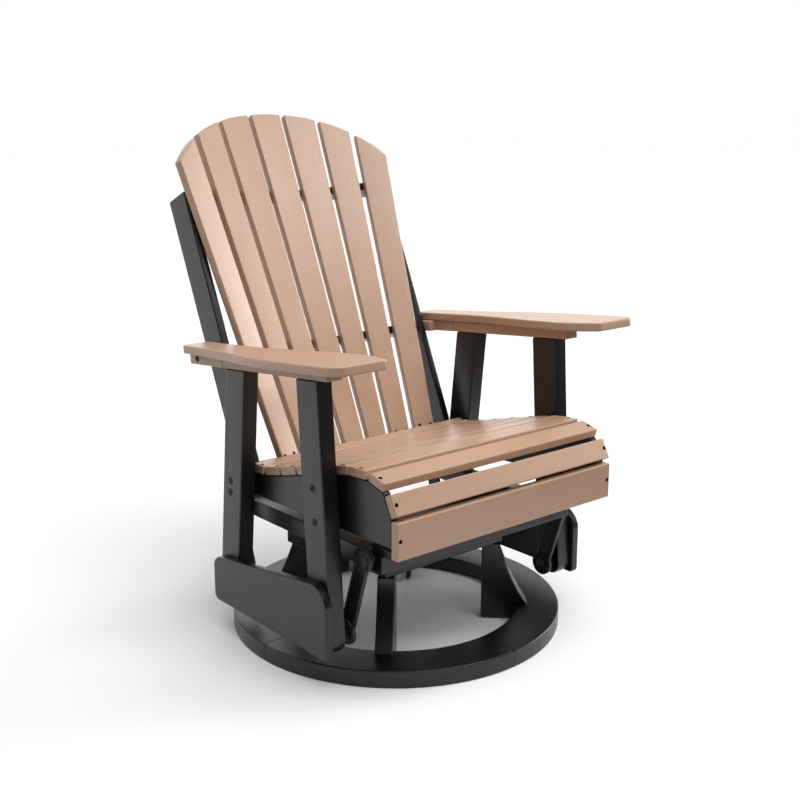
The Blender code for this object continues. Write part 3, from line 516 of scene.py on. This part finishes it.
def arm_boss():
    """A boss turned about X: a rim and a bearing cap on each face, holes outside and crossed ribs inside."""
    face, floor = ARM_THICKNESS, ARM_THICKNESS - BOSS_FLOOR
    back, back_floor = ARM_INSET, ARM_INSET + BOSS_FLOOR
    cap, rim, rim_top, edge = CAP_RADIUS, BOSS_RADIUS - BOSS_RIM, BOSS_RADIUS - BOSS_RIM_TOP, BOSS_EDGE
    profile = [(0, face), (cap - edge, face), (cap, face - edge), (cap, floor), (rim, floor),
               (rim_top, face), (BOSS_RADIUS - edge, face), (BOSS_RADIUS, face - edge),
               (BOSS_RADIUS, back + edge), (BOSS_RADIUS - edge, back), (rim_top, back), (rim, back_floor),
               (cap, back_floor), (cap, edge), (cap - edge, 0), (0, 0)]
    boss = stand_on(turned(profile, BOSS_STEPS), (0, 0, 0), (1, 0, 0))
    cuts = []
    for count, radius, circle, top in ((BOSS_HOLES, HOLE_RADIUS, HOLE_CIRCLE, floor),
                                       (DIMPLES, DIMPLE_RADIUS, DIMPLE_CIRCLE, face)):
        for k in range(count):
            angle = math.tau * (k + 0.5) / count
            place = (top, circle * math.cos(angle), circle * math.sin(angle))
            cuts.append(drill(place, (1, 0, 0), radius, HOLE_DEPTH * radius))
    boss = cut_away(boss, together(cuts))
    reach = BOSS_RADIUS - BACK_RIB_END
    inner, outer = back + BACK_RIB_SINK, back_floor + BACK_RIB_RISE
    ribs = []
    for k in range(-BACK_RIBS, BACK_RIBS + 1):
        offset = k * BACK_RIB_PITCH
        half = math.sqrt(reach ** 2 - offset ** 2)
        low, high = offset - BACK_RIB_HALF, offset + BACK_RIB_HALF
        ribs.append(block((inner, low, -half), (outer, high, half), BACK_RIB_ROUND))
        ribs.append(block((inner, -half, low), (outer, half, high), BACK_RIB_ROUND))
    return together([boss, *ribs])


def arm_bar(length):
    """The bar between the bosses: a web, two flanges, three ribs along it and a few across."""
    web_inner, web_half = ARM_INSET + WEB_INSET, ARM_HALF_WIDTH - WEB_OVERLAP
    rib_inner, rib_outer = web_inner - WEB / 2, web_inner + LONG_RIB_HEIGHT
    flange_inner = ARM_HALF_WIDTH - FLANGE
    blocks = [block((web_inner, -web_half, -length), (web_inner + WEB, web_half, 0), WEB_ROUND)]
    for sign in (-1, 1):
        low, high = sorted((sign * flange_inner, sign * ARM_HALF_WIDTH))
        blocks.append(block((ARM_INSET, low, FLANGE_END - length), (ARM_THICKNESS, high, -FLANGE_END),
                            FLANGE_ROUND))
    for k in (-1, 0, 1):
        middle = k * flange_inner / 2
        blocks.append(block((rib_inner, middle - LONG_RIB / 2, LONG_RIB_END - length),
                            (rib_outer, middle + LONG_RIB / 2, -LONG_RIB_END), WEB_ROUND))
    rib_half = flange_inner + WEB_OVERLAP
    for k in range(1, CROSS_RIBS + 1):
        height = -BOSS_RADIUS - (length - 2 * BOSS_RADIUS) * k / (CROSS_RIBS + 1)
        blocks.append(block((rib_inner, -rib_half, height - LONG_RIB / 2),
                            (rib_outer, rib_half, height + LONG_RIB / 2), WEB_ROUND))
    return together(blocks)


def sleeve(start, length):
    """A spacer sleeve along +X, with small chamfers."""
    edge = SLEEVE_EDGE
    profile = [(0, 0), (SLEEVE_RADIUS - edge, 0), (SLEEVE_RADIUS, edge), (SLEEVE_RADIUS, length - edge),
               (SLEEVE_RADIUS - edge, length), (0, length)]
    return stand_on(turned(profile, SLEEVE_STEPS), start, (1, 0, 0))


def hang_arm(shape, end, side):
    """Tilts and moves a shape from the arm's own frame to its place, mirrored on the left."""
    place = pivot["glide"] if (end, side) == ("front", "left") else pivot[f"glide_{end}_{side}"]
    matrix = (Matrix.Translation((0, place.y, place.z)) @ Matrix.Scale(SIDES[side], 4, (1, 0, 0))
              @ Matrix.Rotation(-ENDS[end] * arm_tilt, 4, "X") @ Matrix.Translation((ARM_INNER, 0, 0)))
    bmesh.ops.transform(shape, matrix=matrix, verts=shape.verts)
    bmesh.ops.recalc_face_normals(shape, faces=shape.faces)
    return shape


moulding = textured_material("black_moulding_plastic", MOULDED_BLACK, MOULDING_ROUGHNESS, MOULDING_TEXTURE)
bearing_grey = textured_material("bearing_nylon", BEARING_GREY, BEARING_ROUGHNESS, MOULDING_TEXTURE)
pale_moulding = textured_material("pale_moulding_plastic", SPACER_PALE, BEARING_ROUGHNESS, MOULDING_TEXTURE)
arm_swing = pivot["seat_rock"] - pivot["glide"]
arm_length = math.hypot(arm_swing.y, arm_swing.z)
arm_tilt = math.atan2(arm_swing.y, -arm_swing.z)
for end in ENDS:
    for side in SIDES:
        node = f"glider_arm_{end}_{side}"
        body = cad_body[node]
        low_sleeve = sleeve((ARM_THICKNESS - SLEEVE_OVERLAP, 0, -arm_length), BOTTOM_SLEEVE + SLEEVE_OVERLAP)
        arm = hang_arm(together([arm_bar(arm_length), low_sleeve]), end, side)
        add_piece(f"{node}_moulding", arm, moulding, body, (node,), weighted=False)
        low_boss = arm_boss()
        bmesh.ops.translate(low_boss, verts=low_boss.verts, vec=(0, 0, -arm_length))
        bearings = hang_arm(together([arm_boss(), low_boss]), end, side)
        add_piece(f"{node}_bearings", bearings, bearing_grey, body, weighted=False)
        spacer = hang_arm(sleeve((-TOP_SLEEVE, 0, 0), TOP_SLEEVE + ARM_INSET + SLEEVE_OVERLAP), end, side)
        add_piece(f"{node}_spacer", spacer, pale_moulding, body)


# Seat. Seven flat slats, two narrow nose slats and an apron of tan board lie on two shaped black rails. The
# dark coated screws that hold them have thin heads a little proud of the board, with a round socket.
TAN = (0.505, 0.31, 0.207, 1)
TAN_GRAIN = {"Streaks": 0.20, "Speckle": 0.42, "Drift": 0.10, "Satin": 0.34}
TAN_SPECULAR = 0.7
SLAT_ROUND_OVER = 0.0026
SCREW_BROWN = (0.004, 0.003, 0.0025, 1)
SCREW_ROUGHNESS = 0.7
SCREW_RADIUS = 0.0042
SCREW_PROFILE = ((0, 0.0003), (0.42, 0.0003), (0.5, 0.0008), (0.8, 0.0008), (0.95, 0.00048), (1, -0.0008),
                 (0, -0.0008))
SCREW_STEPS = 20
SCREW_LINE = 0.297
SCREW_WAY = (0, -0.45, 1)
FRONT_SCREW_WAYS = {"front_apron": (0, -1, 0.2), "nose_slat_lower": (0, -1, 0.6)}
SCREW_START = 0.1


def add_plain_board(node, colour, along=None):
    """A board in a CAD node's own shape, named for its colour."""
    add_board(f"{node}_{colour}", merged_copy(node), f"{colour}_board", node, along)


def screw():
    """A thin head with a rounded rim and a round socket, a little proud of the board."""
    return turned([(SCREW_RADIUS * share, height) for share, height in SCREW_PROFILE], SCREW_STEPS)


def find_surface(node, start, way):
    """The point and the normal where a line from outside first meets a CAD node."""
    shape = merged_copy(node)
    tree = BVHTree.FromBMesh(shape)
    point, normal, _, _ = tree.ray_cast(Vector(start), Vector(way).normalized())
    shape.free()
    return point, normal


board_finish["tan_board"] = board_material("tan_board_plastic", TAN, TAN_GRAIN, TAN_SPECULAR)
screw_brown = textured_material("coated_screw", SCREW_BROWN, SCREW_ROUGHNESS, METAL_TEXTURE, specular=0.0)
add_plain_board("seat_slat_1", "tan")
seat_boards = [f"seat_slat_{k}" for k in range(2, 8)] + ["nose_slat_upper", "nose_slat_lower", "front_apron"]
for node in seat_boards:
    add_board(f"{node}_tan", plank(node, SLAT_ROUND_OVER), "tan_board", node)
for side in SIDES:
    add_plain_board(f"seat_rail_{side}", "black", (0, 1, 0))
seat_screws = []
for node in ["seat_slat_1", *seat_boards]:
    low, high = map(Vector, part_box(node))
    middle = (low + high) / 2
    outward = Vector(FRONT_SCREW_WAYS.get(node, SCREW_WAY))
    for sign in SIDES.values():
        start = Vector((sign * SCREW_LINE, middle.y, middle.z)) + outward * SCREW_START
        seat_screws.append(stand_on(screw(), *find_surface(node, start, -outward)))
add_piece("seat_screws", together(seat_screws), screw_brown, "chair")


# Posts, spacers and skirts. Thick leaning black posts carry the armrests, thin packers fill the gap to the
# seat rails, and a board outside the posts on each side hides the arms. Two button-headed bolts in
# counterbores go through each post into the seat rail.
BOLT_PLACES = {"front": ((-0.1665, 0.421), (-0.172, 0.352)), "rear": ((0.1375, 0.362), (0.140, 0.336))}
BOLT_BLACK = (0.008, 0.008, 0.0085, 1)
BOLT_ROUGHNESS = 0.45
BOLT_SPECULAR = 0.3
BUTTON_RADIUS = 0.0068
BUTTON_HEIGHT = 0.0028
BUTTON_SINK = 0.001
DOME_STEP = 12
DOME_POINTS = 7
SOCKET_SHARE = 0.3
SOCKET_FLOOR = 0.25
BORE_RADIUS = 0.0085
BORE_DEPTH = 0.0026
BORE_STEPS = 24


def button_head():
    """A domed button head with a round socket, standing on its own flat underside."""
    radius, floor = BUTTON_RADIUS, BUTTON_HEIGHT * SOCKET_FLOOR
    angles = [math.radians(step * DOME_STEP) for step in range(DOME_POINTS)]
    dome = [(radius * math.cos(angle), BUTTON_HEIGHT * math.sin(angle)) for angle in angles]
    socket = [(radius * SOCKET_SHARE, floor), (0, floor)]
    return turned([(0, -BUTTON_SINK), (radius, -BUTTON_SINK), *dome, *socket])


black_steel = textured_material("black_bolt", BOLT_BLACK, BOLT_ROUGHNESS, METAL_TEXTURE,
                                specular=BOLT_SPECULAR)
for side, sign in SIDES.items():
    outward = Vector((sign, 0, 0))
    for end in ENDS:
        node = f"post_{end}_{side}"
        outer = sign * max(abs(corner[0]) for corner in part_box(node))
        spots = [Vector((outer, axis_y + y, z)) for y, z in BOLT_PLACES[end]]
        bores = together([drill(spot, outward, BORE_RADIUS, BORE_DEPTH, BORE_STEPS) for spot in spots])
        add_board(f"{node}_black", cut_away(merged_copy(node), bores), "black_board", node, (0, 0, 1))
        heads = [stand_on(button_head(), spot - outward * BORE_DEPTH, outward) for spot in spots]
        add_piece(f"{node}_bolts", together(heads), black_steel, "chair")
        add_plain_board(f"post_spacer_{end}_{side}", "black")
    add_plain_board(f"skirt_{side}", "black", (0, 1, 0))


# Armrests. Broad shaped tan boards, each on a tan cleat over the posts and on a tan block beside the stile.
# One button-headed bolt goes through each block into the stile.
BLOCK_BOLT = (0.259, 0.613)
SEARCH_FROM = 0.5

block_bolts = []
for side, sign in SIDES.items():
    cleat, end_block = f"armrest_cleat_{side}", f"armrest_block_{side}"
    add_plain_board(f"armrest_{side}", "tan", (0, 1, 0))
    add_board(f"{cleat}_tan", plank(cleat), "tan_board", cleat)
    add_plain_board(end_block, "tan")
    start = (sign * SEARCH_FROM, axis_y + BLOCK_BOLT[0], BLOCK_BOLT[1])
    block_bolts.append(stand_on(button_head(), *find_surface(end_block, start, (-sign, 0, 0))))
add_piece("armrest_block_bolts", together(block_bolts), black_steel, "chair")


# Back. Seven tan slats fan out over a hollow from the seat to an arched top. They are screwed to three black
# cross rails between two black stiles, at the foot from the front and at the other rails from behind.
MIDDLE_SLAT = 4
FOOT_SCREW_HEIGHT = 0.3945
FOOT_SCREW_DROP = 0.013
FOOT_SCREW_SHARE = 0.24
REAR_SCREW_SHARE = 0.25
SCREW_REACH = 0.262
RAIL_EDGE = 0.0087


def span_at(node, height):
    """The lowest and highest x of a CAD node at a height."""
    shape = merged_copy(node)
    met = []
    for edge in shape.edges:
        low, high = sorted((vertex.co for vertex in edge.verts), key=lambda place: place.z)
        if low.z <= height < high.z:
            met.append(low.lerp(high, (height - low.z) / (high.z - low.z)).x)
    shape.free()
    return min(met), max(met)


back_screws = []
for k in range(1, 2 * MIDDLE_SLAT):
    slat = f"back_slat_{k}"
    add_plain_board(slat, "tan")
    foot = FOOT_SCREW_HEIGHT - FOOT_SCREW_DROP * (1 - ((k - MIDDLE_SLAT) / (MIDDLE_SLAT - 1)) ** 2)
    fixings = [(slat, foot, FOOT_SCREW_SHARE, 1)]
    for rail in ("back_rail_middle", "back_rail_high"):
        fixings.append((rail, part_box(rail)[0][2] + RAIL_EDGE, REAR_SCREW_SHARE, -1))
    for board, height, share, way in fixings:
        left, right = span_at(slat, height)
        for part in (share, 1 - share):
            across = max(-SCREW_REACH, min(SCREW_REACH, left + (right - left) * part))
            spot = find_surface(board, (across, -way, height), (0, way, 0))
            back_screws.append(stand_on(screw(), *spot))
add_piece("back_screws", together(back_screws), screw_brown, "chair")
for node in ("back_stile_left", "back_stile_right", "back_rail_low", "back_rail_middle", "back_rail_high"):
    add_plain_board(node, "black")


# Studio. White floor and surround, five broad suns and a soft box in front on the right. The floor throws
# back little light, and mirrors as white but for a dark part far out on the front right. The mirrored sky is
# bright beyond the chair, dark behind the camera and dimmed high on the right.
CAMERA_FROM_AXIS = (-1.62149, -1.9397, 1.13577)
CAMERA_AZIMUTH = -40.1005
CAMERA_ELEVATION = 13.8458
CAMERA_LENS = 52.204
CAMERA_SENSOR = 36
CAMERA_CLIP_END = 100
FLOOR_SIZE = 60
FLOOR_WHITE = (0.93, 0.93, 0.93, 1)
FLOOR_BOUNCE = (0.2, 0.2, 0.2, 1)
FLOOR_ROUGHNESS = 0.9
FLOOR_MIRROR_FAR = 0.1
FLOOR_MIRROR_REACH = (1.6, 2.1)
SKY_LEVEL = 0.08
SKY_TOP = 0.52
MIRROR_TURN = 0.7
MIRROR_REACH = (-0.1, 1.0)
MIRROR_LOW = 0.08
MIRROR_DIM = 0.75
DIM_HEIGHTS = (0.22, 0.36)
DIM_RIGHT = (-0.35, -0.1)
LAMPS = {
    "low_right": ((0.95, -0.23, 0.25), 1.4, 22),
    "top": ((0.05, -0.36, 1.0), 1.36, 58),
    "front": ((-0.1, -0.64, 0.82), 0.4, 50),
    "back_right": ((0.6, 0.72, 0.32), 0.4, 60),
    "back_left": ((-0.7, 0.7, 0.35), 0.7, 60),
}
SOFT_BOX_PLACE = (0.9, -0.9, 2.1)
SOFT_BOX_AIM = (0, 0.3, 0.95)
SOFT_BOX_SIZE = 0.7
SOFT_BOX_POWER = 9


def ray_mask(tree, *kinds):
    """1 for the named kinds of rays, and 0 for the rest."""
    path = add_node(tree, "ShaderNodeLightPath")
    mask = path.outputs[kinds[0]]
    for kind in kinds[1:]:
        mask = reckon(tree, "MAXIMUM", mask, path.outputs[kind])
    return mask


def mix_colours(tree, factor, first, last):
    """A mix of two colours or colour sockets, by the colour inputs 6 and 7 of a Mix node."""
    return add_node(tree, "ShaderNodeMix", {0: factor, 6: first, 7: last}, data_type="RGBA").outputs[2]


def coordinates(tree, kind):
    """The X, Y and Z outputs of one kind of coordinates."""
    place = add_node(tree, "ShaderNodeTexCoord").outputs[kind]
    return add_node(tree, "ShaderNodeSeparateXYZ", {0: place}).outputs


def smooth_step(tree, value, start, end, low=0.0, high=1.0):
    """A smooth change from low to high while a value goes from start to end."""
    inputs = {"Value": value, "From Min": start, "From Max": end, "To Min": low, "To Max": high}
    return add_node(tree, "ShaderNodeMapRange", inputs, interpolation_type="SMOOTHSTEP").outputs["Result"]


def floor_material():
    """White to the camera, weakly lit for bounced light, and white to dark in reflections."""
    made, tree, shader = new_material("studio_floor")
    place = coordinates(tree, "Object")
    front_right = reckon(tree, "SUBTRACT", place["X"], place["Y"])
    fade = smooth_step(tree, front_right, *FLOOR_MIRROR_REACH, 1.0, FLOOR_MIRROR_FAR)
    mirrored = mix_colours(tree, fade, (0.0, 0.0, 0.0, 1.0), FLOOR_WHITE)
    colour = mix_colours(tree, ray_mask(tree, "Is Glossy Ray"), FLOOR_BOUNCE, mirrored)
    colour = mix_colours(tree, ray_mask(tree, "Is Camera Ray", "Is Transmission Ray"), colour, FLOOR_WHITE)
    feed(tree, shader, {"Base Color": colour, "Roughness": FLOOR_ROUGHNESS, "Specular IOR Level": 0.0})
    return made


def add_light(name, kind, power, way):
    """A light that shines from the side that a way points to."""
    made = bpy.data.objects.new(name, bpy.data.lights.new(name, kind))
    bpy.context.scene.collection.objects.link(made)
    made.data.energy = power
    made.rotation_mode = "QUATERNION"
    made.rotation_quaternion = Vector(way).to_track_quat("Z", "Y")
    return made


floor_shape = bmesh.new()
bmesh.ops.create_grid(floor_shape, x_segments=1, y_segments=1, size=FLOOR_SIZE / 2)
floor_mesh = bpy.data.meshes.new("floor")
floor_shape.to_mesh(floor_mesh)
floor_shape.free()
floor_mesh.materials.append(floor_material())
floor = bpy.data.objects.new("floor", floor_mesh)
bpy.context.scene.collection.objects.link(floor)
floor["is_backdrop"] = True

world = bpy.data.worlds.new("studio")
bpy.context.scene.world = world
world.use_nodes = True
sky = world.node_tree
direction = coordinates(sky, "Generated")
up = reckon(sky, "MAXIMUM", direction["Z"], 0.0)
soft = reckon(sky, "MULTIPLY_ADD", up, SKY_TOP, SKY_LEVEL)
beyond = reckon(sky, "MULTIPLY_ADD", direction["Y"], MIRROR_TURN, direction["X"])
mirror = smooth_step(sky, beyond, *MIRROR_REACH, MIRROR_LOW)
high_up = smooth_step(sky, direction["Z"], *DIM_HEIGHTS)
to_right = smooth_step(sky, reckon(sky, "SUBTRACT", direction["X"], direction["Y"]), *DIM_RIGHT)
dim = reckon(sky, "MULTIPLY_ADD", reckon(sky, "MULTIPLY", high_up, to_right), -MIRROR_DIM, 1.0)
strengths = {0: ray_mask(sky, "Is Glossy Ray"), 2: soft, 3: reckon(sky, "MULTIPLY", mirror, dim)}
strength = add_node(sky, "ShaderNodeMix", strengths, data_type="FLOAT").outputs[0]
full = reckon(sky, "MAXIMUM", strength, ray_mask(sky, "Is Camera Ray", "Is Transmission Ray"))
feed(sky, sky.nodes["Background"].inputs, {"Strength": full, "Color": (1, 1, 1, 1)})

for name, (way, power, spread) in LAMPS.items():
    add_light(name, "SUN", power, way).data.angle = math.radians(spread)
box = add_light("front_right_box", "AREA", SOFT_BOX_POWER, Vector(SOFT_BOX_PLACE) - Vector(SOFT_BOX_AIM))
box.location = SOFT_BOX_PLACE
box.data.shape = "SQUARE"
box.data.size = SOFT_BOX_SIZE

camera = bpy.data.objects.new("camera", bpy.data.cameras.new("camera"))
bpy.context.scene.collection.objects.link(camera)
camera.data.lens = CAMERA_LENS
camera.data.sensor_width = CAMERA_SENSOR
camera.data.clip_end = CAMERA_CLIP_END
azimuth, elevation = math.radians(CAMERA_AZIMUTH), math.radians(CAMERA_ELEVATION)
back = Vector((math.sin(azimuth) * math.cos(elevation), -math.cos(azimuth) * math.cos(elevation),
               math.sin(elevation)))
camera.location = Vector(CAMERA_FROM_AXIS) + Vector((0, axis_y, 0))
camera.rotation_mode = "QUATERNION"
camera.rotation_quaternion = (-back).to_track_quat("-Z", "Y")
bpy.context.scene.camera = camera
bpy.context.scene.view_settings.view_transform = "Standard"

low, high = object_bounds()
